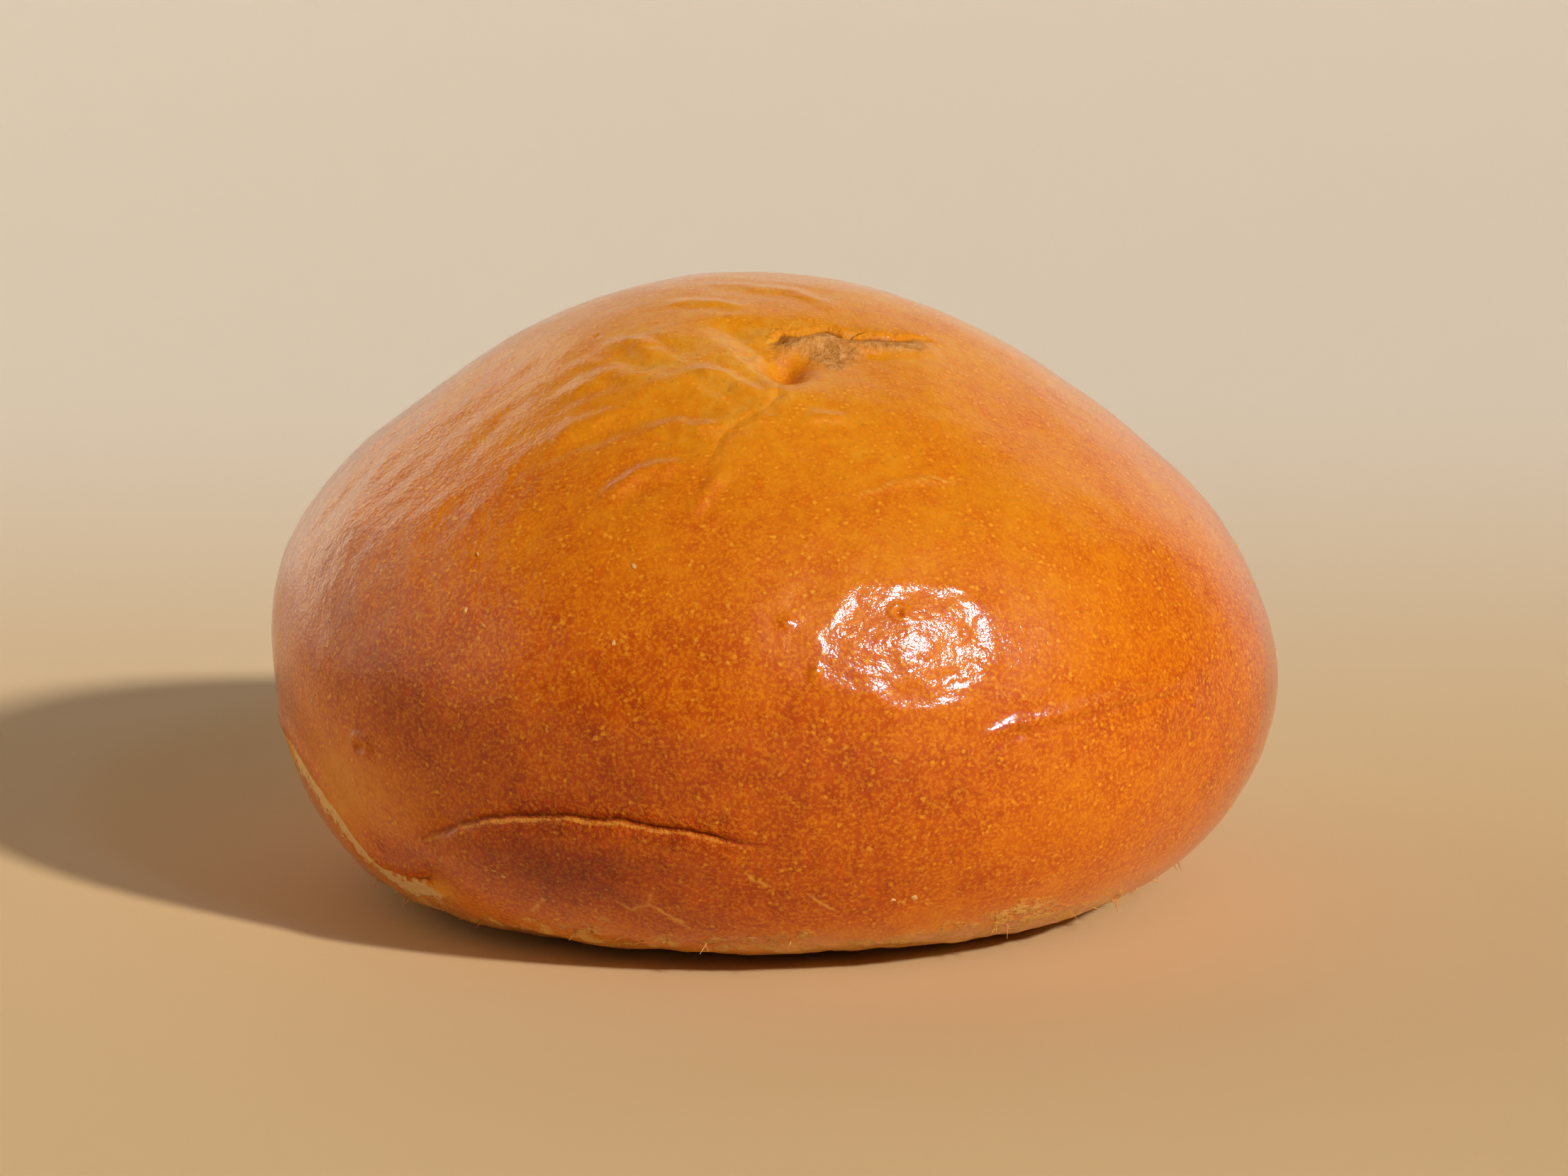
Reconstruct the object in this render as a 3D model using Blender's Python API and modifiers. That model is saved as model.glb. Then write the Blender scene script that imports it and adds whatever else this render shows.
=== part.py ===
# A butter-glazed bread roll, baked as one piece: a domed crust that curves in to a small flat base.
# Metres, +Z up. The origin is under the middle of the roll, on its base, and +X is its long side.

import math

import bmesh
import bpy

WIDTH = 0.1060  # along X, across the widest part
DEPTH = 0.1021  # along Y
HEIGHT = 0.0640

WIDEST_SHARE = 0.398  # height of the widest part, as a share of HEIGHT
WIDEST_TILT = 0.049  # how much lower that is at +X, and higher at -X
BASE_SHARE = 0.630  # the flat base's radius, as a share of the roll's
BASE_SHIFT = 0.060  # how much shorter it is towards +X, and longer towards -X
BASE_POLAR = math.radians(138)  # polar angle of the cage at which the flat base begins
BASE_CUT = 0.0003  # what is sliced off below, so that the roll stands on a plane and not on a slight curve
SHOULDER = 0.078  # how far the shoulders fall inside an elliptical dome, as a share of the radius
STRAIGHTNESS = 0.4  # 0 rounds the shoulders evenly, and more straightens them between crown and side
CROWN_LEAN = -0.0022  # how far along X the crown sits from the middle

# How far out of round the roll is: number of lobes round it, share of the radius, turn in radians.
LOBES = ((2, 0.004, 0.4), (3, 0.005, 2.1), (5, 0.003, 0.9))

# Hollows pressed into the crust: where (x, y, z), how far they reach along X, Y and Z, and their depth.
HOLLOWS = (
    ((0.0065, -0.0140, 0.0610), (0.0110, 0.0060, 0.0200), 0.0020),  # the pinch in the crown
    ((-0.0360, -0.0120, 0.0480), (0.0180, 0.0260, 0.0150), 0.0007),  # the slack left shoulder
    ((-0.0190, -0.0460, 0.0185), (0.0160, 0.0160, 0.0040), 0.0007),  # the fold low on the front
)

CAGE_CUTS = 9  # cuts along each edge of the cube that the cage starts from
CRUST_COLOUR = (0.46, 0.115, 0.012, 1.0)
CRUST_ROUGHNESS = 0.3


def clear_scene():
    for old in list(bpy.data.objects):
        bpy.data.objects.remove(old)


def section(azimuth, polar):
    """Radius as a share of the roll's, height and crown lean at this direction from the roll's heart."""
    side = math.cos(azimuth)
    widest = HEIGHT * (WIDEST_SHARE - WIDEST_TILT * side)
    base = BASE_SHARE - BASE_SHIFT * side
    if polar < math.pi / 2:  # the dome, an ellipse with sloping shoulders
        slope = math.sin(2 * polar) ** 2 * (1 - STRAIGHTNESS * math.cos(2 * polar) ** 2)
        size = 1 - SHOULDER * slope
        rise = math.cos(polar) * size
        return math.sin(polar) * size, widest + (HEIGHT - widest) * rise, CROWN_LEAN * rise**2
    if polar < BASE_POLAR:  # the underside, a quarter of an ellipse
        turn = (polar - math.pi / 2) / (BASE_POLAR - math.pi / 2) * math.pi / 2
        return base + (1 - base) * math.cos(turn), widest * (1 - math.sin(turn)), 0.0
    return base * (math.pi - polar) / (math.pi - BASE_POLAR), 0.0, 0.0


def out_of_round(azimuth):
    return 1 + sum(share * math.cos(count * azimuth + turn) for count, share, turn in LOBES)


def pressed_in(x, y, z):
    """How deep the hollows press the crust here, towards the roll's middle."""
    depth = 0.0
    for middle, reach, deepest in HOLLOWS:
        away = sum(((a - b) / r) ** 2 for a, b, r in zip((x, y, z), middle, reach))
        depth += deepest * math.exp(-away)
    return depth


def crust_point(direction):
    """The place on the crust of a cage point, from its direction."""
    azimuth = math.atan2(direction.y, direction.x)
    polar = direction.angle((0, 0, 1))
    radius, height, lean = section(azimuth, polar)
    radius *= out_of_round(azimuth)
    x = WIDTH / 2 * radius * math.cos(azimuth) + lean
    y = DEPTH / 2 * radius * math.sin(azimuth)
    if height <= 0:
        return x, y, 0.0
    shrink = 1 - pressed_in(x, y, height) / math.hypot(x, y, height)
    return x * shrink, y * shrink, height * shrink


def crust_material():
    material = bpy.data.materials.new("glazed_crust")
    material.use_nodes = True
    shader = material.node_tree.nodes["Principled BSDF"]
    shader.inputs["Base Color"].default_value = CRUST_COLOUR
    shader.inputs["Roughness"].default_value = CRUST_ROUGHNESS
    shader.inputs["Metallic"].default_value = 0.0
    return material


def bread_roll(collection):
    """A cage from a subdivided cube, shaped as the roll, with one round of subdivision."""
    cage = bmesh.new()
    bmesh.ops.create_cube(cage, size=2)
    bmesh.ops.subdivide_edges(cage, edges=cage.edges[:], cuts=CAGE_CUTS, use_grid_fill=True)
    for vertex in cage.verts:
        vertex.co = crust_point(vertex.co.normalized())
    bmesh.ops.recalc_face_normals(cage, faces=cage.faces[:])
    mesh = bpy.data.meshes.new("bread_roll")
    cage.to_mesh(mesh)
    cage.free()
    mesh.shade_smooth()
    mesh.materials.append(crust_material())
    roll = bpy.data.objects.new("bread_roll", mesh)
    collection.objects.link(roll)
    rounding = roll.modifiers.new("rounding", "SUBSURF")
    rounding.levels = 1
    rounding.render_levels = 1
    return roll


def fit_to_size(roll):
    """Stretches the cage, which the subdivision rounds off, to the roll's size, centred over the origin."""
    bpy.context.view_layer.update()
    shape = roll.evaluated_get(bpy.context.evaluated_depsgraph_get()).to_mesh()
    sizes = (WIDTH, DEPTH, HEIGHT + BASE_CUT)
    starts = (-WIDTH / 2, -DEPTH / 2, -BASE_CUT)
    for axis, (size, start) in enumerate(zip(sizes, starts)):
        values = [vertex.co[axis] for vertex in shape.vertices]
        low, high = min(values), max(values)
        for vertex in roll.data.vertices:
            vertex.co[axis] = (vertex.co[axis] - low) * size / (high - low) + start


def slice_base(roll):
    """Cuts the finished roll off at Z = 0 and closes it with one flat face."""
    bpy.context.view_layer.update()
    shape = bpy.data.meshes.new_from_object(roll.evaluated_get(bpy.context.evaluated_depsgraph_get()))
    roll.modifiers.clear()
    form = bmesh.new()
    form.from_mesh(shape)
    whole = form.verts[:] + form.edges[:] + form.faces[:]
    bmesh.ops.bisect_plane(
        form, geom=whole, dist=0.00001, plane_co=(0, 0, 0), plane_no=(0, 0, 1), clear_inner=True
    )
    rim = [edge for edge in form.edges if edge.is_boundary]
    bmesh.ops.contextual_create(form, geom=rim)
    bmesh.ops.recalc_face_normals(form, faces=form.faces[:])
    form.to_mesh(shape)
    form.free()
    roll.data = shape


def main():
    clear_scene()
    collection = bpy.data.collections.new("glazed_bread_roll")
    bpy.context.scene.collection.children.link(collection)
    roll = bread_roll(collection)
    fit_to_size(roll)
    slice_base(roll)


main()
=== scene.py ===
import math
import random

import bmesh
import bpy
import numpy as np
from mathutils import Matrix, Vector, noise
from mathutils.bvhtree import BVHTree
from mathutils.kdtree import KDTree


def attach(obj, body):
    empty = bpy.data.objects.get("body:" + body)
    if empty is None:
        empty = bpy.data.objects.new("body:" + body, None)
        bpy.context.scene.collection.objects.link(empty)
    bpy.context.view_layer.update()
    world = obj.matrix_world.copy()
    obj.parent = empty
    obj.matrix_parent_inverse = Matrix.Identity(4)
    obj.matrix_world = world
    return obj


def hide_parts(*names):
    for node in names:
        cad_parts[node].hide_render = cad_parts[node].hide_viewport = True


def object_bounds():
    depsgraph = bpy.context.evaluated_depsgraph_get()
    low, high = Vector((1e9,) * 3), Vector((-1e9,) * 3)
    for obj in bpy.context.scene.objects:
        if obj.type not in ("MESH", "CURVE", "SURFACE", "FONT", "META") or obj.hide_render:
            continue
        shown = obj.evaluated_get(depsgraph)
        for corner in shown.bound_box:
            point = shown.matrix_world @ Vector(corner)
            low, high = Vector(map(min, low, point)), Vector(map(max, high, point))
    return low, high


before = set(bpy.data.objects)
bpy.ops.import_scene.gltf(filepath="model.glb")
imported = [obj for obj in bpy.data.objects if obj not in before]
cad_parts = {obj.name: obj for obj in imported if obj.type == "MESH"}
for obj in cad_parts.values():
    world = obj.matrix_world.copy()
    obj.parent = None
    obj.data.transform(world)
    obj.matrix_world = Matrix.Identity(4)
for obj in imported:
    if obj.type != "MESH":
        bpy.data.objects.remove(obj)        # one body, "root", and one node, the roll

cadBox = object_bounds()
mm = 0.001               # the sizes below are in millimetres until a mesh is written


def toLinear(hexColour):
    channels = [int(hexColour[i:i + 2], 16) / 255 for i in (1, 3, 5)]
    linear = [c / 12.92 if c <= 0.04045 else ((c + 0.055) / 1.055) ** 2.4 for c in channels]
    return (*linear, 1.0)


def addNode(material, kind, settings=None, links=None, output=0):
    # settings go on the node or its sockets, links are {socket: output}, and one output comes back
    node = material.node_tree.nodes.new(kind)
    for name, value in (settings or {}).items():
        if name == "stops":
            elements = node.color_ramp.elements
            for _ in range(len(value) - len(elements)):
                elements.new(0.5)
            for element, (place, colour) in zip(elements, value):
                element.position = place
                element.color = toLinear(colour)
        elif isinstance(name, str) and name not in node.inputs:
            setattr(node, name, value)
        else:
            node.inputs[name].default_value = value
    for name, source in (links or {}).items():
        material.node_tree.links.new(source, node.inputs[name])
    return node.outputs[output] if node.outputs else None


def newMaterial(name):
    material = bpy.data.materials.new(name)
    material.use_nodes = True
    material.node_tree.nodes.clear()
    return material


# the roll's mesh
rollForm = {
    "heart": (0.0, 0.0, 28.0),             # the point the roll swells from
    "cageCuts": 10,                        # 11 faces along each side of the cube, about 7 mm each
    "rounds": 2,                           # rounds of smooth subdivision before the cuts near folds
    "nearFolds": (4.0, 1.8),               # how near a fold the faces are cut smaller, once and twice
    "swell": 0.45, "swellSize": 26.0,      # broad unevenness of hand-shaped dough
    "dimple": 0.12, "dimpleSize": 8.0,
    "skin": 0.034, "skinSize": 2.3,        # orange peel where the skin shrank as it cooled
    "edge": 0.35, "edgeSize": 5.0,         # the uneven edge of the base, where the dough sat on the tray
    "edgeHeight": 2.5, "edgeReach": 3.0,   # how high up it is, and how far it reaches above and below
    "underLift": 0.25, "underSize": 7.0,   # the underside is drawn up between the spots that touch
}

# the flap that bulges under the low fold: where along x and z, how far it reaches, and how far it bulges
flap = {"place": (-19.0, 13.0), "reach": (13.0, 3.8), "bulge": 0.55}

# the slack skin of the left flank, with fine ripples that run down it to the left
slackSkin = {
    "place": (-36.0, -20.0, 44.0), "reach": (16.0, 22.0, 15.0),
    "ripple": 0.40, "rippleLength": 7.0, "rippleWidth": 3.4, "ripplesRun": (-0.75, -0.3, -0.6),
}


def swollenCage():
    # a cube-shaped cage blown out onto the roll's solid
    solid = bmesh.new()
    solid.from_mesh(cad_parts["bread_roll"].data)
    bmesh.ops.remove_doubles(solid, verts=solid.verts, dist=0.01 * mm)
    tree = BVHTree.FromBMesh(solid)
    cage = bmesh.new()
    bmesh.ops.create_cube(cage, size=2)
    bmesh.ops.subdivide_edges(cage, edges=cage.edges[:], cuts=rollForm["cageCuts"], use_grid_fill=True)
    heart = Vector(rollForm["heart"]) * mm
    for vert in cage.verts:
        toward = Vector([math.tan(c * math.pi / 4) for c in vert.co])   # keeps the faces even
        vert.co = tree.ray_cast(heart, toward.normalized())[0]
    solid.free()
    return meshPiece(cage, "glazedRoll")


def meshPiece(bm, name):
    bmesh.ops.recalc_face_normals(bm, faces=bm.faces[:])
    mesh = bpy.data.meshes.new(name)
    bm.to_mesh(mesh)
    bm.free()
    piece = bpy.data.objects.new(name, mesh)
    bpy.context.scene.collection.objects.link(piece)
    return piece


def subdivideSmoothly(piece, rounds):
    rounding = piece.modifiers.new("rounding", "SUBSURF")
    rounding.levels = rounds
    rounding.render_levels = rounds
    bpy.context.view_layer.update()
    coarse = piece.data
    piece.data = bpy.data.meshes.new_from_object(piece.evaluated_get(bpy.context.evaluated_depsgraph_get()))
    piece.modifiers.clear()
    bpy.data.meshes.remove(coarse)


def cutNear(piece, reach):
    # halves the faces within reach of a fold, and those of the wrinkles and the thick glaze
    lines = [fold["route"] for fold in folds.values()] + list(paleLines)
    if reach == max(rollForm["nearFolds"]):
        lines += [route for route, _, _ in wrinkles]
    places = [point for points in lines for point in throughPoints(points)]
    places += [place for place, _, _, _ in blisters["own"]]
    tree = KDTree(len(places))
    for place in places:
        tree.insert(Vector(place) * mm, 0)
    tree.balance()
    patch = Vector(glazePatch["place"]) * mm
    bm = bmesh.new()
    bm.from_mesh(piece.data)
    chosen = set()
    for face in bm.faces:
        middle = face.calc_center_median()
        if tree.find(middle)[2] < reach * mm or (middle - patch).length < glazePatch["cut"] * mm:
            chosen.update(face.edges)
    bmesh.ops.subdivide_edges(bm, edges=list(chosen), cuts=1, use_grid_fill=True)
    bm.to_mesh(piece.data)
    bm.free()


def readCo(mesh):
    co = np.empty(len(mesh.vertices) * 3)
    mesh.vertices.foreach_get("co", co)
    return co.reshape(-1, 3) / mm


def writeCo(mesh, co):
    mesh.vertices.foreach_set("co", (co * mm).astype(np.float32).ravel())
    mesh.update()


def readNormals(mesh):
    normals = np.empty(len(mesh.vertices) * 3)
    mesh.vertex_normals.foreach_get("vector", normals)
    return normals.reshape(-1, 3)


def intoBox(co):
    # stretched to fill the CAD solid's box
    low, high = np.array(cadBox) / mm
    start, end = co.min(0), co.max(0)
    return (co - start) / (end - start) * (high - low) + low


def noiseAt(co, size, octaves, shift):
    # fractal noise about -1 to 1, with swells of this size; the shift picks a stretch of it
    offset = Vector((shift, shift * 1.7, -shift))
    return np.array([noise.fractal(Vector(p) / size + offset, 0.9, 2.0, octaves) for p in co])


def streaked(co, direction, long, short, octaves, shift):
    # the same noise, drawn out along one direction
    unit = np.array(direction) / np.linalg.norm(direction)
    drawn = co / short + np.outer(co @ unit * (1 / long - 1 / short), unit)
    return noiseAt(drawn, 1.0, octaves, shift)


def bell(values):
    return np.exp(-values ** 2)


def ramp01(values, low, high):
    # a smooth step from 0 at low to 1 at high
    t = np.clip((values - low) / (high - low), 0, 1)
    return t * t * (3 - 2 * t)


def awayFrom(co, place, reach):
    # distance from a place, in shares of the reach along x, y and z
    return np.linalg.norm((co - np.array(place)) / np.array(reach), axis=1)


def throughPoints(points, steps=8):
    # a Catmull-Rom curve through the points
    p = np.array([points[0], *points, points[-1]], float)
    line = []
    for a, b, c, d in zip(p, p[1:], p[2:], p[3:]):
        for t in np.linspace(0, 1, steps, endpoint=False):
            bend = (2 * a - 5 * b + 4 * c - d) * t ** 2 + (3 * b - a - 3 * c + d) * t ** 3
            line.append((2 * b + (c - a) * t + bend) / 2)
    line.append(p[-1])
    return np.array(line)


def alongLine(co, normals, points, reach):
    # for each vertex: the distance to the line, with its sign up the crust, and the share of the way along
    line = throughPoints(points)
    low, high = line.min(0) - reach, line.max(0) + reach
    near = np.nonzero(((co > low) & (co < high)).all(1))[0]
    across = np.full(len(co), float(reach))
    along = np.zeros(len(co))
    best = np.full(len(near), np.inf)
    spans = line[1:] - line[:-1]
    lengths = np.linalg.norm(spans, axis=1)
    run = np.concatenate([[0], np.cumsum(lengths)])
    for start, span, length, before in zip(line, spans, lengths, run):
        away = co[near] - start
        t = np.clip(away @ span / length ** 2, 0, 1)
        gap = away - t[:, None] * span
        distance = np.linalg.norm(gap, axis=1)
        closer = distance < best
        up = np.cross(normals[near], span)
        up /= np.linalg.norm(up, axis=1)[:, None]
        best[closer] = distance[closer]
        across[near[closer]] = np.einsum("ij,ij->i", up, gap)[closer]
        along[near[closer]] = ((before + t * length) / run[-1])[closer]
    return across, along


def tapered(along, ends):
    # 1 in the middle of a line, down to 0 over this share of it at both ends
    return ramp01(along, 0, ends) * ramp01(1 - along, 0, ends)


# lines in the crust: route; groove depth and half width; how far the skin swells or sinks below and above
# it, and how wide; the painted shade in the groove: how far up it lies, and how dark it is at its start and
# end; the pale lip: how far below, half width, and strength at both ends; the dry skin below: where, width,
# share.
# Some folds have no lip and no dry skin
foldReach = 9.0          # how far from a fold it still shapes and marks the crust
folds = {
    "lowFold": {
        "route": ((-36.0, -34.2, 12.8), (-34.7, -35.7, 13.4), (-31.2, -39.0, 15.1), (-27.4, -41.8, 16.8),
                  (-23.7, -44.0, 17.7), (-20.0, -45.7, 18.2), (-14.1, -47.8, 18.2), (-8.1, -49.0, 17.6),
                  (-3.4, -49.5, 16.7), (0.5, -49.7, 15.2)),
        "groove": (0.42, 0.42), "below": (0.5, 2.0), "above": (0.0, 2.0), "paintedShade": (0.08, 0.2, 0.85),
        "lip": (0.36, 0.15, 0.85, 0.3)},
    "tornEdge": {
        "route": ((-50.0, -6.0, 17.5), (-49.8, -12.0, 17.6), (-48.7, -17.3, 17.0), (-45.4, -22.6, 13.9),
                  (-42.7, -25.0, 11.1), (-39.2, -26.9, 7.4), (-36.8, -29.4, 7.3), (-34.2, -32.8, 8.0),
                  (-33.0, -35.7, 10.6)),
        "groove": (0.5, 0.42), "below": (-0.4, 1.8), "above": (0.4, 1.3), "paintedShade": (0.0, 0.4, 0.8),
        "lip": (1.9, 1.9, 1.0, 0.95)},
    "crownCrack": {
        "route": ((-1.0, -17.2, 60.2), (0.9, -15.6, 60.6), (1.3, -14.1, 61.0), (3.2, -13.9, 60.9),
                  (5.5, -12.5, 60.8), (8.5, -13.0, 60.1), (11.9, -11.8, 59.7), (17.0, -9.5, 58.8)),
        "groove": (0.75, 0.5), "below": (0.34, 1.2), "above": (0.0, 1.2), "paintedShade": (0.2, 0.75, 0.5),
        "dry": (1.4, 1.5, 1.0)},
    "crownLeg": {
        "route": ((2.9, -20.8, 58.5), (1.0, -23.9, 57.3), (0.8, -26.8, 55.8), (-0.8, -28.4, 54.9),
                  (-2.3, -29.6, 54.1), (-3.7, -30.5, 53.4), (-4.5, -31.4, 52.7), (-5.7, -33.7, 51.0),
                  (-7.0, -35.0, 49.9)),
        "groove": (0.09, 0.5), "below": (0.04, 1.0), "above": (0.06, 1.4), "paintedShade": (0.0, 0.2, 0.05),
        "dry": (-0.8, 1.2, 0.25)},
    "rightPleat": {
        "route": ((20.1, -47.6, 23.9), (21.9, -46.8, 25.4), (24.1, -45.8, 26.3), (26.4, -44.7, 26.4),
                  (29.4, -42.9, 26.8), (33.5, -40.0, 27.5), (37.4, -36.6, 27.7), (42.0, -31.0, 27.4)),
        "groove": (0.12, 0.5), "below": (0.06, 1.2), "above": (0.3, 0.6), "paintedShade": (0.0, 0.0, 0.25)},
    "backFold": {
        "route": ((30.0, 38.5, 20.0), (23.0, 43.0, 22.5), (14.0, 47.5, 23.5), (4.0, 49.5, 22.0),
                  (-5.0, 49.6, 19.0)),
        "groove": (0.55, 0.4), "below": (0.38, 1.2), "above": (0.0, 2.0), "paintedShade": (0.08, 0.9, 0.4),
        "lip": (0.45, 0.28, 0.2, 0.7)},
    "backTear": {
        "route": ((49.0, 8.0, 12.0), (47.0, 16.0, 10.5), (42.0, 24.0, 8.0), (38.0, 30.0, 8.4),
                  (33.0, 35.0, 7.0)),
        "groove": (0.5, 0.42), "below": (-0.35, 1.4), "above": (0.3, 1.0), "paintedShade": (0.0, 0.4, 0.7),
        "lip": (1.6, 1.4, 0.9, 0.9)},
}

# a fine ridge right of the pinch, where the glaze cracked pale
crackedRidge = ((8.2, -37.0, 47.8), (13.1, -33.7, 49.1), (19.6, -31.0, 48.7))

# soft ridges that fan out from the pinch, and wrinkles on the shoulders: route, height, half width
wrinkles = (
    (((-18.0, -14.1, 59.3), (-14.2, -16.2, 59.7), (-11.1, -19.3, 59.0), (-8.5, -21.2, 58.5)), 0.325, 1.0),
    (((-8.5, -21.2, 58.5), (-3.9, -24.3, 57.3), (-1.9, -25.7, 56.6), (0.4, -26.4, 56.0)), 0.425, 0.9),
    (((-22.0, -21.1, 54.7), (-18.0, -21.0, 56.4), (-15.3, -20.7, 57.4), (-11.0, -22.6, 57.3)), 0.325, 1.1),
    (((-13.5, -29.0, 53.0), (-10.3, -29.3, 53.4), (-7.7, -29.6, 53.7), (-4.0, -30.9, 53.1)), 0.4, 0.85),
    (((-17.0, -36.5, 46.5), (-13.1, -34.3, 49.3), (-10.4, -33.9, 50.1), (-6.2, -34.5, 50.3)), 0.35, 1.0),
    (((-24.0, -27.0, 50.0), (-17.0, -26.5, 53.5), (-12.0, -25.5, 55.3)), 0.275, 1.0),
    (((-9.0, -39.5, 46.0), (-6.0, -37.0, 48.0), (-3.5, -33.5, 51.0)), 0.175, 0.8),
    (((2.5, -29.5, 54.2), (6.0, -28.0, 54.6), (9.0, -27.5, 54.5)), 0.2, 0.8),
    (((1.2, -18.4, 59.6), (4.5, -14.9, 60.3), (7.9, -15.1, 59.6), (13.0, -14.2, 58.9)), 0.325, 0.9),
    (((-7.7, -2.0, 63.6), (-2.5, -3.8, 63.6), (2.7, -5.3, 63.1), (7.8, -8.8, 61.5)), 0.2, 1.0),
    (((-12.0, -8.0, 62.6), (-6.0, -9.0, 62.7), (-1.0, -10.0, 62.2)), 0.175, 0.8),
    (crackedRidge, 0.125, 0.35),
    (((20.0, 10.0, 57.5), (27.0, 16.0, 51.5), (31.0, 23.0, 44.0)), 0.275, 1.2),
    (((-8.0, 27.0, 55.0), (-16.0, 31.0, 49.5), (-22.0, 36.0, 41.0)), 0.275, 1.2),
    (((-2.0, 25.0, 57.0), (-7.0, 30.0, 53.0), (-11.0, 36.0, 46.0)), 0.25, 1.0),
)

# how far lines and edges wander, and over what length
wander = {"fold": (0.35, 3.5), "wrinkle": (0.6, 3.0), "ledge": (1.1, 3.4), "paleLine": (0.5, 1.6),
          "dryEdge": (0.30, 2.6), "dryPatches": (0.14, 2.0), "bareRim": (3.0, 4.0)}

# the pinch where the dough was gathered: a hollow with a ledge along its left and a deep pit under it,
# dry skin in it, and puckers in the skin to its left
pinch = {
    "hollow": (6.0, -18.5, 59.0), "hollowReach": (7.5, 6.5, 7.0), "hollowDepth": 0.8,
    "pit": (1.9, -20.8, 58.5), "pitReach": (1.8, 2.4, 3.0), "pitDepth": 1.5,
    "ledge": ((-6.5, -12.5, 61.6), (-5.0, -15.7, 60.9), (-2.9, -19.1, 59.6), (-0.6, -22.1, 58.3),
              (1.0, -24.5, 57.2)),
    "ledgeDepth": 1.0, "ledgeWidth": 5.0, "ledgeStep": (-1.2, 1.7),
    "dryPlace": (5.5, -17.0, 59.6), "dryReach": (5.5, 4.5, 4.0),
    "puckers": 0.42, "puckerSize": 3.2, "puckerLength": 10.0, "puckersRun": (-1.0, -0.15, -0.35),
    "puckerPlace": (-11.0, -23.0), "puckerReach": (11.0, 12.0), "puckersFrom": (38.0, 46.0),
}

# blisters in the glaze: place, radius, height, and how deep the middle has fallen in
blisters = {
    "own": (
        ((13.0, -45.2, 38.4), 0.9, 0.16, 0.26), ((-40.4, -33.0, 22.0), 1.4, 0.34, 0.26),
        ((2.2, -47.3, 37.8), 0.8, 0.24, 0.0), ((5.0, -49.4, 33.4), 0.8, 0.24, 0.0),
        ((21.3, -46.9, 21.1), 0.6, 0.12, 0.0)),
    "count": 60, "seed": 7, "lowest": 6.0,
    "sizes": (0.5, 1.6), "heights": (0.04, 0.096), "fallen": (0, 0, 0.1),     # one in three has fallen in
}

# the patch on the front right where the glaze lies thick: flatter than the crust, with its middle raised a
# little, a rim and ripples; its outline is uneven by two noises, with strength, size and shift
glazePatch = {
    "place": (13.4, -45.8, 35.6), "reach": (8.6, 8.6, 6.0), "cut": 9.0,
    "outline": ((0.22, 5.5, 3.1), (0.09, 1.7, 8.3)),
    "flat": 0.26, "raised": 0.30, "raisedWidth": 0.45, "rim": 0.06, "rimWidth": 0.15,
    "wave": 0.09, "waveSize": 3.6, "ripple": 0.022, "rippleSize": 0.8,
}


def wandering(co, line, shift):
    far, size = wander[line]
    return far * noiseAt(co, size, 3, shift)


def pressFolds(co, normals):
    # moves for every fold, and for colouring: how near the closest fold is, and what it looks like
    move = np.zeros(len(co))
    nearest = np.full(len(co), foldReach)
    marks = {name: np.zeros(len(co)) for name in ("foldDark", "lipShare", "dry")}
    marks["foldAway"] = np.full(len(co), foldReach)
    marks["lipAway"] = np.full(len(co), foldReach)
    offRoute = wandering(co, "fold", 43.0)
    for fold in folds.values():
        across, along = alongLine(co, normals, fold["route"], foldReach)
        across = across + offRoute
        reach = tapered(along, ends=0.16)
        depth, width = fold["groove"]
        move -= depth * bell(across / width) * reach
        for side, (swelling, wide) in ((1, fold["below"]), (-1, fold["above"])):
            move += swelling * bell((side * across + width + wide) / wide) * reach
        closer = np.abs(across) < nearest
        nearest[closer] = np.abs(across)[closer]
        # the painted shade in the groove: how far up it lies, and how dark it is at both ends
        shadeAt, shadeStart, shadeEnd = fold["paintedShade"]
        lipAt, lipWide, lipStart, lipEnd = fold.get("lip", (0.0, 1.0, 0.0, 0.0))
        dryAt, dryWide, dryShare = fold.get("dry", (0.0, 1.0, 0.0))
        for name, values in (
                ("foldAway", np.abs(across - shadeAt)),
                ("foldDark", (shadeStart + (shadeEnd - shadeStart) * along) * reach),
                ("lipAway", np.abs(across + lipAt) / lipWide),
                ("lipShare", (lipStart + (lipEnd - lipStart) * along) * reach)):
            marks[name][closer] = values[closer]
        marks["dry"] = np.maximum(marks["dry"], dryShare * bell((across + dryAt) / dryWide) * reach)
    return move, marks


def raiseWrinkles(co, normals):
    # each is a ridge with a furrow on either side, the lower one deeper
    move = np.zeros(len(co))
    offRoute = wandering(co, "wrinkle", 47.0)
    for route, height, width in wrinkles:
        across, along = alongLine(co, normals, route, reach=6.0)
        across = (across + offRoute) / width
        ridge = bell(across) - 0.55 * bell(across + 2) - 0.3 * bell(across - 2)
        move += height * ridge * tapered(along, ends=0.35)
    return move


def pinchCrown(co, normals):
    hollow = awayFrom(co, pinch["hollow"], pinch["hollowReach"])
    pit = awayFrom(co, pinch["pit"], pinch["pitReach"])
    move = -pinch["hollowDepth"] * bell(hollow) - pinch["pitDepth"] * bell(pit)
    across, along = alongLine(co, normals, pinch["ledge"], reach=14.0)
    across = across + wandering(co, "ledge", 59.0)
    step = ramp01(across, *pinch["ledgeStep"]) * bell(across / pinch["ledgeWidth"])
    move -= pinch["ledgeDepth"] * step * tapered(along, ends=0.3)

    # the skin to its left is drawn into puckers that run towards it
    size, length = pinch["puckerSize"], pinch["puckerLength"]
    puckers = streaked(co, pinch["puckersRun"], length, size, 1, 57.0)
    near = bell(awayFrom(co[:, :2], pinch["puckerPlace"], pinch["puckerReach"]))
    return move + pinch["puckers"] * puckers * near * ramp01(co[:, 2], *pinch["puckersFrom"])


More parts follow.
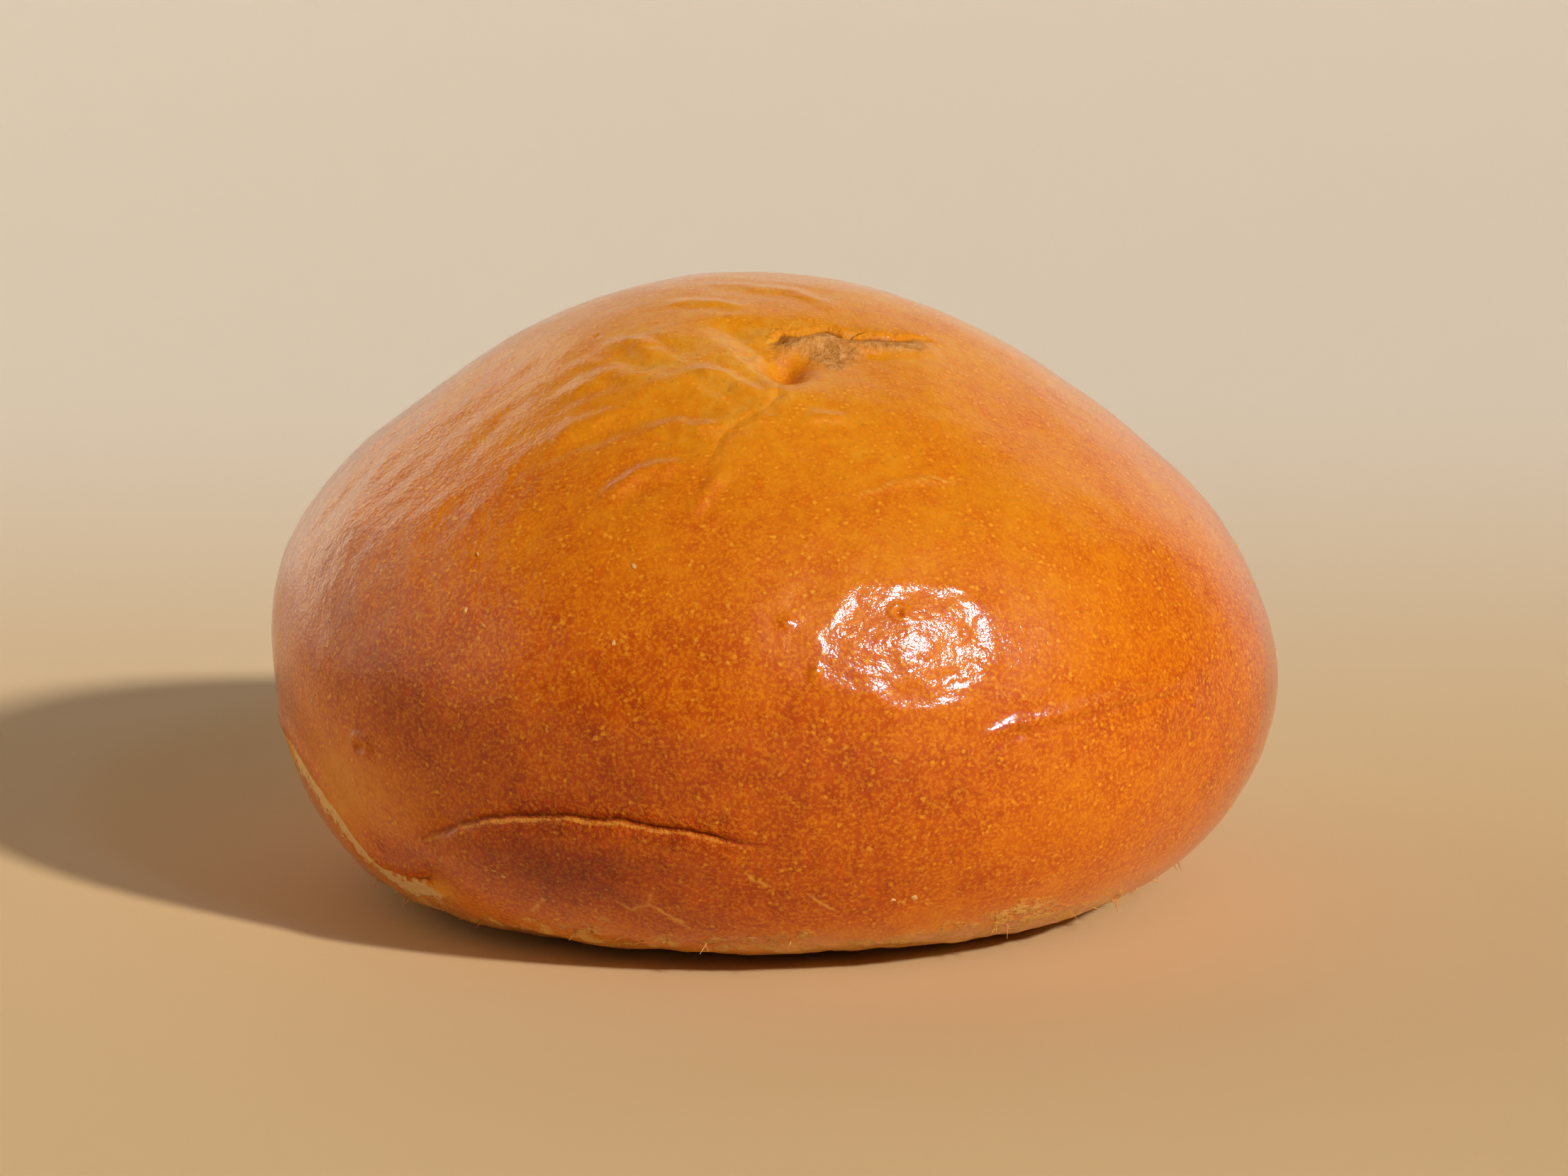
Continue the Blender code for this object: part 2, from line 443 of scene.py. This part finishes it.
def raiseBlisters(co):
    # one that has fallen in is a ring round a dent
    move = np.zeros(len(co))
    chance = random.Random(blisters["seed"])
    every = list(blisters["own"])
    for _ in range(blisters["count"]):
        place = co[chance.randrange(len(co))]
        if place[2] > blisters["lowest"]:
            radius = chance.uniform(*blisters["sizes"])
            height = chance.uniform(*blisters["heights"])
            every.append((place, radius, height, chance.choice(blisters["fallen"])))
    for place, radius, height, fallen in every:
        away = awayFrom(co, place, radius)
        ring = bell((away - 0.8) / 0.35) if fallen else bell(away / 0.8)
        move += height * ring - fallen * bell(away / 0.45)
    return move


def patchOfGlaze(co):
    # 0 at its middle, 1 on its uneven outline
    away = awayFrom(co, glazePatch["place"], glazePatch["reach"])
    for uneven, size, shift in glazePatch["outline"]:
        away = away + uneven * noiseAt(co, size, 2, shift)
    return away


def shapedRoll():
    roll = swollenCage()
    subdivideSmoothly(roll, rollForm["rounds"])
    for reach in rollForm["nearFolds"]:
        cutNear(roll, reach)
    subdivideSmoothly(roll, 1)
    mesh = roll.data
    mesh.name = roll.name
    co = intoBox(readCo(mesh))
    normals = readNormals(mesh)
    height = co[:, 2]
    side = ramp01(height, 3, 12)              # 0 on the underside, 1 on the crust

    move = rollForm["swell"] * noiseAt(co, rollForm["swellSize"], 2, 0.0) * side
    move += rollForm["dimple"] * noiseAt(co, rollForm["dimpleSize"], 3, 5.0) * side
    move += rollForm["skin"] * noiseAt(co, rollForm["skinSize"], 3, 11.0) * side

    # the ripples of the slack flank
    slack = bell(awayFrom(co, slackSkin["place"], slackSkin["reach"]))
    length, width = slackSkin["rippleLength"], slackSkin["rippleWidth"]
    move += slackSkin["ripple"] * slack * streaked(co, slackSkin["ripplesRun"], length, width, 2, 9.0)

    # the patch of thick glaze
    patch = patchOfGlaze(co)
    move -= glazePatch["flat"] * np.clip(1 - patch ** 2, 0, 1)
    move += glazePatch["raised"] * bell(patch / glazePatch["raisedWidth"])
    move += glazePatch["rim"] * bell((patch - 1) / glazePatch["rimWidth"])
    thick = ramp01(patch, 1.4, 0.9)           # 1 in the patch, 0 well outside it
    for kind, shift in (("wave", 71.0), ("ripple", 17.0)):
        move += glazePatch[kind] * noiseAt(co, glazePatch[kind + "Size"], 2, shift) * thick

    pressed, marks = pressFolds(co, normals)
    marks["slack"] = slack
    move += pressed + raiseWrinkles(co, normals) + raiseBlisters(co) + pinchCrown(co, normals)
    move += flap["bulge"] * bell(awayFrom(co[:, [0, 2]], flap["place"], flap["reach"])) * (co[:, 1] < 0)
    edge = bell((height - rollForm["edgeHeight"]) / rollForm["edgeReach"])
    move += rollForm["edge"] * noiseAt(co, rollForm["edgeSize"], 3, 21.0) * edge
    co = co + normals * move[:, None]

    lift = rollForm["underLift"] * (1 + noiseAt(co, rollForm["underSize"], 3, 25.0))
    co[:, 2] += np.clip(lift, 0, 1) * ramp01(-normals[:, 2], 0.75, 0.97)
    co = intoBox(co)
    writeCo(mesh, co)
    mesh.shade_smooth()
    return roll, co, marks


# pale lines where the crust cracked, low on the front
paleWidth = 0.17
paleLines = (
    ((-15.1, -44.2, 9.5), (-13.3, -44.1, 8.4), (-11.5, -44.9, 9.1), (-10.0, -44.5, 8.0), (-8.3, -44.1, 6.8),
     (-6.5, -43.3, 5.7)),
    ((-11.2, -45.9, 10.6), (-11.5, -44.9, 9.1)),
    ((-1.9, -48.2, 13.0), (-0.6, -47.9, 12.1), (0.7, -47.4, 11.4)),
    ((4.1, -46.9, 10.7), (5.2, -46.3, 9.6), (7.0, -45.1, 8.5)),
    ((-24.0, -39.0, 6.0), (-22.5, -40.5, 7.5), (-22.0, -41.5, 9.0)),
)

# how brown the crust is: all over, by mottles, and round heights in millimetres by share, height and reach
browned = {
    "allOver": 0.34, "mottles": 0.10, "mottleSize": 9.0,
    "bands": ((0.34, 22.0, 20.0), (-0.12, 62.0, 9.0), (-0.26, 0.0, 3.4)),     # flanks, crown, base
}

# where the crust is browner or paler than its height alone makes it, some of it painted light and shade:
# place, reach, share
tansAndPaintedLight = (
    ((-32.0, -36.0, 30.0), (14.0, 20.0, 18.0), 0.10),
    ((-6.0, -46.0, 22.0), (22.0, 20.0, 12.0), 0.08),
    # browner on the flap under the low fold: partly the crust's own colour, partly painted shade where it
    # faces down
    ((-19.0, -44.0, 11.5), (15.0, 14.0, 5.5), 0.22),
    # paler low on the left flank: painted light from the left
    ((-42.0, -30.0, 17.0), (11.0, 14.0, 8.0), -0.42),
    ((-36.0, -31.0, 10.5), (7.0, 7.0, 3.6), 0.34),
    ((24.0, -38.0, 30.0), (20.0, 26.0, 22.0), -0.10),
    ((22.0, -42.0, 13.0), (16.0, 20.0, 8.0), -0.10),
    ((10.0, -42.0, 2.0), (20.0, 14.0, 3.0), -0.20),
    ((3.0, -44.0, 10.0), (22.0, 16.0, 5.5), 0.18),
    ((-4.0, -20.0, 58.0), (14.0, 12.0, 9.0), -0.16),
    # browner in the pit under the pinch: painted shade
    ((2.3, -20.3, 58.5), (2.0, 2.2, 3.0), 0.5),
    ((30.0, 30.0, 34.0), (22.0, 20.0, 14.0), 0.12),
)

# the rim that the glaze didn't reach: the heights where it begins and is full, and how much and where along
# x and y it climbs higher
bareRim = {"heights": (4.8, 2.4), "climb": 3.0, "place": (28.0, -32.0), "reach": (18.0, 22.0)}


def markRoll(roll, co, marks):
    # numbers on the mesh that its material reads
    mesh = roll.data
    normals = readNormals(mesh)
    height = co[:, 2]

    # golden crown, deep red-brown sides, paler again near the base
    brown = browned["allOver"] + browned["mottles"] * noiseAt(co, browned["mottleSize"], 3, 31.0)
    for share, middle, reach in browned["bands"]:
        brown += share * bell((height - middle) / reach)
    for place, reach, share in tansAndPaintedLight:
        brown += share * bell(awayFrom(co, place, reach))
    marks["brown"] = np.clip(brown, 0, 1)

    # dry: the hollow of the pinch, where the brush didn't reach
    hollow = awayFrom(co, pinch["dryPlace"], pinch["dryReach"])
    ragged = wandering(co, "dryEdge", 61.0)
    marks["dry"] = np.maximum(marks["dry"], 0.95 * ramp01(1.0 - hollow + ragged, 0.0, 0.7))
    marks["dry"] = ramp01(marks["dry"] + wandering(co, "dryPatches", 79.0), 0.1, 0.95)

    # the underside and the unglazed rim above it
    marks["underside"] = ramp01(-normals[:, 2], 0.80, 0.96) * ramp01(-height, -4, -1)
    climb = bareRim["climb"] * bell(awayFrom(co[:, :2], bareRim["place"], bareRim["reach"]))
    level = height - climb - wandering(co, "bareRim", 37.0)
    marks["bareRim"] = ramp01(level, *bareRim["heights"])

    pale = np.zeros(len(co))
    offRoute = wandering(co, "paleLine", 67.0)
    for route in (*paleLines, crackedRidge):
        across, along = alongLine(co, normals, route, reach=3.0)
        pale = np.maximum(pale, bell((across + offRoute) / paleWidth) * tapered(along, ends=0.2))
    marks["paleLine"] = pale
    for name, values in marks.items():
        mark = mesh.attributes.new(name, "FLOAT", "POINT")
        mark.data.foreach_set("value", values.astype(np.float32))


# Egg-washed and buttered crust, baked in a hot oven: a clear amber film over a browned, finely
# pored skin, so it shows deep orange colour under a sharp, slightly broken shine
glazedCrust = {
    "browning": ((0.0, "#e9ab38"), (0.2, "#e2900c"), (0.42, "#d87302"), (0.62, "#c65601"),
                 (0.82, "#a83b01"), (1.0, "#842402")),
    "under": ((0.25, "#8a4a17"), (0.45, "#b5712c"), (0.6, "#cf9650"), (0.75, "#e0b87a")),
    "dried": ((0.3, "#a86f35"), (0.5, "#c68f50"), (0.7, "#dcb07a")),
    "lips": ((0.8, "#efae47"), (0.95, "#eccb92")),
    # the groove colour is painted shade inside the folds
    "rim": "#e8bd68", "crack": "#f0b048", "groove": "#4e1603",
    # spots: colour, the noise values where they begin and are full, and their strength
    "grain": ("#f29c08", 0.42, 0.64, 0.6),
    "pore": ("#8a2d03", 0.40, 0.28, 0.25),
    "spark": ("#fbb62c", 0.22, 0.50, 0.6), "sparkSize": 0.85,
    # noises: size in millimetres, and how many finer layers
    "noises": {"mottle": (5.0, 4), "blotch": (1.6, 3), "grain": (0.4, 3), "pore": (0.6, 2),
               "crumble": (0.8, 3)},
    "uneven": {"mottle": 0.09, "blotch": 0.14},            # how far they move the browning
    "roughness": 0.45, "bareRoughness": 0.75, "coat": 0.8, "coatRoughness": 0.09, "ior": 1.45,
    "peel": 0.07, "grit": 0.035, "crumbly": 0.4,           # how high the bumps are, in millimetres
    "slackPeel": 4.5,                                      # times higher on the slack flank
}


def crustMaterial():
    m = newMaterial("eggWashedButteredCrust")
    g = glazedCrust
    place = addNode(m, "ShaderNodeTexCoord", output="Object")
    mark = {name: addNode(m, "ShaderNodeAttribute", {"attribute_name": name}, output="Fac")
            for name in ("brown", "dry", "underside", "bareRim", "paleLine", "foldAway", "foldDark",
                         "lipAway", "lipShare", "slack")}
    speck = {name: addNode(m, "ShaderNodeTexNoise",
                           {"Scale": 1 / (size * mm), "Detail": detail, "Roughness": 0.65},
                           {"Vector": place})
             for name, (size, detail) in g["noises"].items()}

    # sparks are round, and gather where the blotches are pale
    cells = addNode(m, "ShaderNodeTexVoronoi", {"Scale": 1 / (g["sparkSize"] * mm)}, {"Vector": place})
    speck["spark"] = addNode(m, "ShaderNodeMath", {"operation": "SUBTRACT"}, {0: speck["blotch"], 1: cells})

    # browning, moved about by mottles and blotches
    brown = mark["brown"]
    for name, share in g["uneven"].items():
        uneven = addNode(m, "ShaderNodeMapRange",
                         {"From Min": 0.25, "From Max": 0.75, "To Min": -share, "To Max": share},
                         {"Value": speck[name]})
        brown = addNode(m, "ShaderNodeMath", {"operation": "ADD"}, {0: brown, 1: uneven})
    colour = addNode(m, "ShaderNodeValToRGB", {"stops": g["browning"]}, {"Fac": brown})

    # yellow grains and sparks and darker pores, fewer where it is browner
    fewer = addNode(m, "ShaderNodeMapRange",
                    {"From Min": 0.6, "From Max": 0.95, "To Min": 1.0, "To Max": 0.4},
                    {"Value": mark["brown"]})
    for name in ("grain", "pore", "spark"):
        tint, low, high, share = g[name]
        spots = addNode(m, "ShaderNodeMapRange",
                        {"interpolation_type": "SMOOTHSTEP", "From Min": low, "From Max": high,
                         "To Max": share},
                        {"Value": speck[name]})
        spots = addNode(m, "ShaderNodeMath", {"operation": "MULTIPLY"}, {0: spots, 1: fewer})
        colour = addNode(m, "ShaderNodeMix", {"data_type": "RGBA", 7: toLinear(tint)},
                         {0: spots, 6: colour}, output=2)

    # pale cracks, the bare rim, the dry hollow and the underside
    broken = addNode(m, "ShaderNodeMapRange", {"From Min": 0.3, "From Max": 0.6, "To Min": 0.45},
                     {"Value": speck["blotch"]})
    crack = addNode(m, "ShaderNodeMath", {"operation": "MULTIPLY"}, {0: mark["paleLine"], 1: broken})
    patchy = addNode(m, "ShaderNodeMapRange",
                     {"interpolation_type": "SMOOTHSTEP", "From Min": 0.42, "From Max": 0.58,
                      "To Max": 0.85},
                     {"Value": speck["blotch"]})
    rim = addNode(m, "ShaderNodeMath", {"operation": "MULTIPLY"}, {0: mark["bareRim"], 1: patchy})
    dry = addNode(m, "ShaderNodeMath", {"operation": "MULTIPLY", 1: 0.85}, {0: mark["dry"]})
    dried = addNode(m, "ShaderNodeValToRGB", {"stops": g["dried"]}, {"Fac": speck["crumble"]})
    baked = addNode(m, "ShaderNodeValToRGB", {"stops": g["under"]}, {"Fac": speck["mottle"]})

    # folds: a pale torn lip below, and painted shade in the groove
    ragged = addNode(m, "ShaderNodeMapRange",
                     {"From Min": 0.3, "From Max": 0.7, "To Min": -0.6, "To Max": 0.6},
                     {"Value": speck["crumble"]})
    lipAway = addNode(m, "ShaderNodeMath", {"operation": "ADD"}, {0: mark["lipAway"], 1: ragged})
    lipEdge = addNode(m, "ShaderNodeMapRange",
                      {"interpolation_type": "SMOOTHSTEP", "From Min": 1.1, "From Max": 0.5},
                      {"Value": lipAway})
    lip = addNode(m, "ShaderNodeMath", {"operation": "MULTIPLY"}, {0: lipEdge, 1: mark["lipShare"]})
    torn = addNode(m, "ShaderNodeValToRGB", {"stops": g["lips"]}, {"Fac": mark["lipShare"]})
    grooveShadeEdge = addNode(m, "ShaderNodeMapRange",
                         {"interpolation_type": "SMOOTHSTEP", "From Min": 0.30, "From Max": 0.06},
                         {"Value": mark["foldAway"]})
    groove = addNode(m, "ShaderNodeMath", {"operation": "MULTIPLY"}, {0: grooveShadeEdge, 1: mark["foldDark"]})

    # each lies over the ones before it, with the painted shade of the grooves on top
    for share, over in ((crack, g["crack"]), (rim, g["rim"]), (dry, dried), (mark["underside"], baked),
                        (lip, torn), (groove, g["groove"])):
        settings = {"data_type": "RGBA"}
        links = {0: share, 6: colour}
        if isinstance(over, str):
            settings[7] = toLinear(over)
        else:
            links[7] = over
        colour = addNode(m, "ShaderNodeMix", settings, links, output=2)

    # glossy where the glaze lies, matte where it doesn't and beside the folds with painted shade
    besideFold = addNode(m, "ShaderNodeMapRange",
                         {"interpolation_type": "SMOOTHSTEP", "From Min": 2.6, "From Max": 0.2},
                         {"Value": mark["foldAway"]})
    shadeStrength = addNode(m, "ShaderNodeMapRange", {"From Max": 0.6}, {"Value": mark["foldDark"]})
    dull = addNode(m, "ShaderNodeMath", {"operation": "MULTIPLY"}, {0: besideFold, 1: shadeStrength})
    bare = mark["underside"]
    for other in (rim, mark["dry"], lip, dull):
        bare = addNode(m, "ShaderNodeMath", {"operation": "MAXIMUM"}, {0: bare, 1: other})
    rough = addNode(m, "ShaderNodeMapRange", {"To Min": g["roughness"], "To Max": g["bareRoughness"]},
                    {"Value": bare})
    coat = addNode(m, "ShaderNodeMapRange", {"To Min": g["coat"], "To Max": 0.0}, {"Value": bare})

    # bump: blotches and grains of the skin, and the crumbly surface where it is bare
    coarse = addNode(m, "ShaderNodeMapRange", {"To Min": 1.0, "To Max": g["slackPeel"]},
                     {"Value": mark["slack"]})
    peel = addNode(m, "ShaderNodeMath", {"operation": "MULTIPLY"}, {0: speck["blotch"], 1: coarse})
    skin = addNode(m, "ShaderNodeBump", {"Strength": 1.0, "Distance": g["peel"] * mm}, {"Height": peel})
    skin = addNode(m, "ShaderNodeBump", {"Strength": 1.0, "Distance": g["grit"] * mm},
                   {"Height": speck["grain"], "Normal": skin})
    crumbly = addNode(m, "ShaderNodeMath", {"operation": "MULTIPLY"}, {0: speck["crumble"], 1: bare})
    rugged = addNode(m, "ShaderNodeBump", {"Strength": 1.0, "Distance": g["crumbly"] * mm},
                     {"Height": crumbly, "Normal": skin})

    shader = addNode(m, "ShaderNodeBsdfPrincipled", {
        "IOR": g["ior"], "Metallic": 0.0, "Specular IOR Level": 0.15,
        "Coat Roughness": g["coatRoughness"], "Coat IOR": g["ior"],
        "Subsurface Weight": 0.06, "Subsurface Radius": (1.0, 0.35, 0.12), "Subsurface Scale": 1.0 * mm,
    }, {
        "Base Color": colour, "Roughness": rough, "Coat Weight": coat,
        "Normal": rugged, "Coat Normal": skin,
    })
    addNode(m, "ShaderNodeOutputMaterial", links={"Surface": shader})
    return m


# crumbs and shreds of skin stuck to the crust, and the ring the search for their places starts from
crumbs = {
    "own": ((-28.4, -35.5, 41.7), (-27.6, -40.7, 35.8), (-29.4, -38.9, 36.9), (-14.7, -46.4, 35.5),
            (-12.8, -42.3, 42.1)),
    "ownSizes": (0.3, 0.45), "count": 46, "seed": 11, "sizes": (0.14, 0.42),
    "ring": 60.0, "heights": ((1.5, 7), (1.5, 7), (8, 55)),       # two in three lie near the base
    "shreds": 120, "shredLength": (0.7, 2.0), "shredWidth": 0.09, "shredTip": 0.02,
    "edgeRing": 45.0, "edgeHeights": (0.4, 2.5),
    "clear": 0.05,                                 # how far the shreds stay above the floor
}


def surfaceOf(piece):
    bm = bmesh.new()
    bm.from_mesh(piece.data)
    tree = BVHTree.FromBMesh(bm)
    bm.free()
    return tree


def onRing(radius, turn, height):
    return Vector((radius * math.cos(turn), radius * math.sin(turn), height))


def standing(spot, toward):
    # a turn and a move that stand a piece on this spot
    return Matrix.Translation(spot) @ toward.to_track_quat("Z", "Y").to_matrix().to_4x4()


def looseCrumbs(tree):
    # flat flakes of crust stuck in the glaze
    chance = random.Random(crumbs["seed"])
    places = [(Vector(p), chance.uniform(*crumbs["ownSizes"])) for p in crumbs["own"]]
    for _ in range(crumbs["count"]):
        turn = chance.uniform(0, 2 * math.pi)
        height = chance.choice([chance.uniform(*band) for band in crumbs["heights"]])
        size = chance.uniform(*crumbs["sizes"])
        places.append((onRing(crumbs["ring"], turn, height), size))
    bm = bmesh.new()
    for place, size in places:
        spot, normal, _, _ = tree.find_nearest(place * mm)
        made = bmesh.ops.create_icosphere(bm, subdivisions=1, radius=size * mm)["verts"]
        for vert in made:
            vert.co *= chance.uniform(0.6, 1.25)
        bmesh.ops.scale(bm, vec=(1.0, chance.uniform(0.4, 0.9), 0.4), verts=made)
        spun = Matrix.Rotation(chance.uniform(0, 2 * math.pi), 4, "Z")
        bmesh.ops.transform(bm, matrix=standing(spot, normal) @ spun, verts=made)
    return meshPiece(bm, "crumbFlakes")


def frayedEdge(tree):
    # short shreds of skin along the edge of the base
    chance = random.Random(crumbs["seed"] + 1)
    bm = bmesh.new()
    for _ in range(crumbs["shreds"]):
        turn = chance.uniform(0, 2 * math.pi)
        out = onRing(crumbs["edgeRing"], turn, chance.uniform(*crumbs["edgeHeights"]))
        spot, normal, _, _ = tree.find_nearest(out * mm)
        length = chance.uniform(*crumbs["shredLength"]) * mm
        made = bmesh.ops.create_cone(bm, segments=4, radius1=crumbs["shredWidth"] * mm,
                                     radius2=crumbs["shredTip"] * mm, depth=length, cap_ends=True)["verts"]
        lean = Vector((chance.uniform(-1, 1), chance.uniform(-1, 1), chance.uniform(-0.4, 0.5)))
        toward = (normal * 0.5 + lean * 0.9).normalized()
        bmesh.ops.transform(bm, matrix=standing(spot + toward * length * 0.35, toward), verts=made)
    for vert in bm.verts:
        vert.co.z = max(vert.co.z, crumbs["clear"] * mm)
    return meshPiece(bm, "frayedEdge")


def crumbMaterial():
    # torn bread skin: dry, pale and matte
    m = newMaterial("tornBreadSkin")
    place = addNode(m, "ShaderNodeTexCoord", output="Object")
    patches = addNode(m, "ShaderNodeTexNoise", {"Scale": 1 / (1.5 * mm), "Detail": 3},
                      {"Vector": place})
    stops = ((0.3, "#b9721f"), (0.5, "#dca557"), (0.7, "#ecc98f"))
    colour = addNode(m, "ShaderNodeValToRGB", {"stops": stops}, {"Fac": patches})
    bump = addNode(m, "ShaderNodeBump", {"Strength": 0.6, "Distance": 0.1 * mm}, {"Height": patches})
    shader = addNode(m, "ShaderNodeBsdfPrincipled", {"Roughness": 0.65, "IOR": 1.45},
                     {"Base Color": colour, "Normal": bump})
    addNode(m, "ShaderNodeOutputMaterial", links={"Surface": shader})
    return m


# a pale sweep, in metres; a low sun at the right front and its glint; on the left a wide pale window and
# its soft light. Of each pair, one is seen in the glaze and the other lights the roll
studio = {
    "floor": "#dfc79d", "back": "#ebe8e4", "gradeFrom": 0.0, "gradeTo": 0.3,
    "half": 2.0, "wall": 2.5, "curve": 0.9,
    "aimHeight": 0.03,
    "sun": {"from": (0.62, -0.55, 0.50), "strength": 3.05, "angle": 4.0, "colour": "#fff0dc"},
    "glint": {"from": (0.485, -0.595, 0.64), "strength": 4.5, "angle": 7.0, "colour": "#e9edff"},
    "skylight": {"from": (-0.88, 0.46, 0.10), "strength": 1.5, "angle": 60.0, "colour": "#ffe9c4"},
    "window": {"from": (-0.88, 0.235, 0.25), "distance": 0.9, "size": (2.15, 1.05), "power": 7.6,
               "colour": "#f2e2c4"},
    "world": "#c8a878", "worldStrength": 0.22,
}

view = {"place": (10.1, -547.7, 149.2), "aim": (1.0, 0.0, 31.0), "lens": 122}


def makeStage():
    bm = bmesh.new()
    bmesh.ops.create_grid(bm, x_segments=1, y_segments=1, size=studio["half"])
    back = [e for e in bm.edges if all(v.co.y > 0 for v in e.verts)]
    raised = bmesh.ops.extrude_edge_only(bm, edges=back)["geom"]
    wall = [v for v in raised if isinstance(v, bmesh.types.BMVert)]
    bmesh.ops.translate(bm, vec=(0, 0, studio["wall"]), verts=wall)
    bmesh.ops.bevel(bm, geom=back, offset=studio["curve"], offset_type="OFFSET", affect="EDGES",
                    segments=16, profile=0.5, material=-1)
    floor = meshPiece(bm, "paleSweep")
    floor.data.shade_smooth()

    # painted board, warm sand in front and paler towards the back
    m = newMaterial("palePaintedSweep")
    place = addNode(m, "ShaderNodeTexCoord", output="Object")
    depth = addNode(m, "ShaderNodeSeparateXYZ", links={"Vector": place}, output="Y")
    grade = addNode(m, "ShaderNodeMapRange",
                    {"interpolation_type": "SMOOTHSTEP", "From Min": studio["gradeFrom"],
                     "From Max": studio["gradeTo"]},
                    {"Value": depth})
    colour = addNode(m, "ShaderNodeMix", {"data_type": "RGBA", 6: toLinear(studio["floor"]),
                                          7: toLinear(studio["back"])}, {0: grade}, output=2)
    shader = addNode(m, "ShaderNodeBsdfPrincipled", {"Roughness": 0.8}, {"Base Color": colour})
    addNode(m, "ShaderNodeOutputMaterial", links={"Surface": shader})
    floor.data.materials.append(m)


def makeLights():
    for name, kind in (("sun", "SUN"), ("glint", "SUN"), ("skylight", "SUN"), ("window", "AREA")):
        s = studio[name]
        data = bpy.data.lights.new(name, kind)
        data.color = toLinear(s["colour"])[:3]
        lamp = bpy.data.objects.new(name, data)
        toward = Vector(s["from"]).normalized()
        lamp.location = toward * s.get("distance", 2.0) + Vector((0, 0, studio["aimHeight"]))
        lamp.rotation_euler = toward.to_track_quat("Z", "Y").to_euler()
        if kind == "SUN":
            data.energy = s["strength"]
            data.angle = math.radians(s["angle"])
        else:
            data.energy = s["power"]
            data.shape = "RECTANGLE"
            data.size, data.size_y = s["size"]
        lamp.visible_glossy = name in ("glint", "window")
        lamp.visible_diffuse = not lamp.visible_glossy
        bpy.context.scene.collection.objects.link(lamp)
    world = bpy.data.worlds.new("softRoom")
    world.use_nodes = True
    world.node_tree.nodes["Background"].inputs["Color"].default_value = toLinear(studio["world"])
    world.node_tree.nodes["Background"].inputs["Strength"].default_value = studio["worldStrength"]
    bpy.context.scene.world = world
    bpy.context.scene.view_settings.view_transform = "Standard"


def makeCamera():
    data = bpy.data.cameras.new("camera")
    data.lens = view["lens"]
    data.clip_start = 0.01
    camera = bpy.data.objects.new("camera", data)
    camera.location = Vector(view["place"]) * mm
    gaze = Vector(view["aim"]) - Vector(view["place"])
    camera.rotation_euler = gaze.to_track_quat("-Z", "Y").to_euler()
    bpy.context.scene.collection.objects.link(camera)
    bpy.context.scene.camera = camera


makeStage()
makeLights()
makeCamera()
print("stage, lights and camera")

roll, rollCo, rollMarks = shapedRoll()
markRoll(roll, rollCo, rollMarks)
roll.data.materials.clear()
roll.data.materials.append(crustMaterial())
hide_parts("bread_roll")
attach(roll, "root")
print("roll:", sum(len(face.vertices) - 2 for face in roll.data.polygons), "triangles")

rollSurface = surfaceOf(roll)
tornSkin = crumbMaterial()
for piece in (looseCrumbs(rollSurface), frayedEdge(rollSurface)):
    piece.data.materials.append(tornSkin)
    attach(piece, "root")
print("crumbs and frayed edge")
